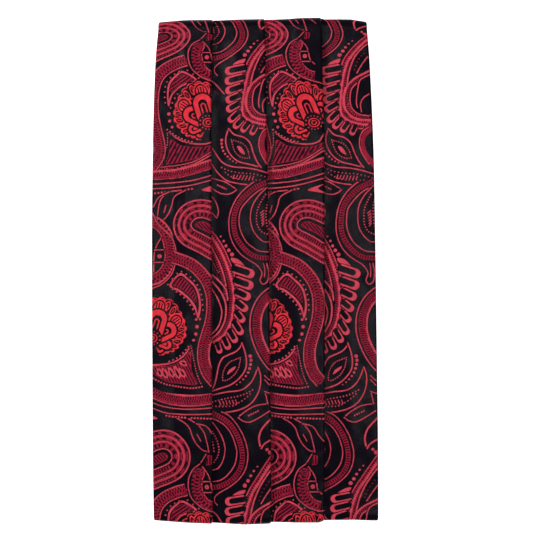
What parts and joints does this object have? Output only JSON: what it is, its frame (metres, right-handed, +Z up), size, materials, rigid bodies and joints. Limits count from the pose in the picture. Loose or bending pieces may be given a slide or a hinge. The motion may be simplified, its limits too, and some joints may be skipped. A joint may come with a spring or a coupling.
{
  "type": "cummerbund",
  "caption": "Pleated jacquard waist sash folded flat, pleats uppermost, its tapered ends tucked under it, with a hook on a webbing strap and a slit in the other strap.",
  "frame": {"origin": "the middle of the floor area that the folded sash covers, on the surface that it lies on", "axes": "+X across the pleats, in the direction that their folded edges face; +Y along the pleats; +Z up, out of the pleated front"},
  "size_m": [0.1274, 0.283, 0.0124],
  "materials": {
    "jacquard": "crimson and black figured weave with a soft sheen",
    "satin": "black satin",
    "webbing": "matte black ribbed webbing",
    "steel": "brushed"
  },
  "bodies": {
    "root": {"pleat_1": "jacquard", "pleat_2": "jacquard", "pleat_3": "jacquard", "pleat_4": "jacquard", "inner_end_tab": "satin", "outer_end_tab": "satin", "long_strap": "webbing", "short_strap": "webbing", "hook": "steel"}
  },
  "joints": []
}
